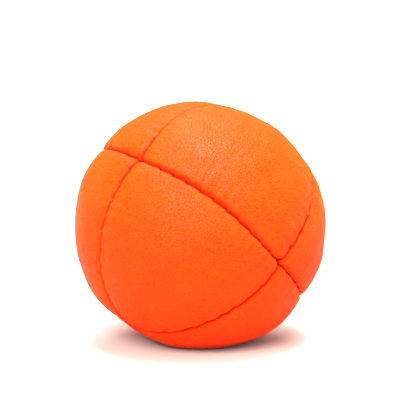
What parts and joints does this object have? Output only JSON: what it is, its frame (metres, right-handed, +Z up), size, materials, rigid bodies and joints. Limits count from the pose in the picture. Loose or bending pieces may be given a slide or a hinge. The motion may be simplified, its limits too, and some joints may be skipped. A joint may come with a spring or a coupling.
{
  "type": "juggling ball",
  "caption": "Small soft weighted ball: a sewn leather cover of curved triangles over a pellet filling, for gripping, throwing, catching and hand exercise.",
  "frame": {"origin": "middle of the flat that the ball settles on, at ground level under the ball's centre", "axes": "+Z up; -Y towards the viewer who sees the large front panel; +X to that viewer's right"},
  "size_m": [0.0659, 0.0662, 0.064],
  "materials": {
    "cover_leather": "smooth orange leather with a fine grain, semi-matt, soft creases by the seams",
    "seam_thread": "dark red waxed sewing thread",
    "filling": "loose off-white pellets, out of sight inside the cover"
  },
  "bodies": {
    "root": {"panel_front": "cover_leather", "panel_top": "cover_leather", "panel_left": "cover_leather", "panel_top_left": "cover_leather", "panel_base": "cover_leather", "panel_right": "cover_leather", "panel_rear_low": "cover_leather", "panel_rear": "cover_leather", "thread_pair_top_front": "seam_thread", "thread_pair_top_rear": "seam_thread", "thread_pair_low_front": "seam_thread", "thread_pair_low_rear": "seam_thread", "thread_half_top": "seam_thread", "thread_half_low": "seam_thread", "thread_joining": "seam_thread", "thread_closing": "seam_thread", "closing_knot": "seam_thread", "pellet_fill": "filling"}
  },
  "joints": []
}
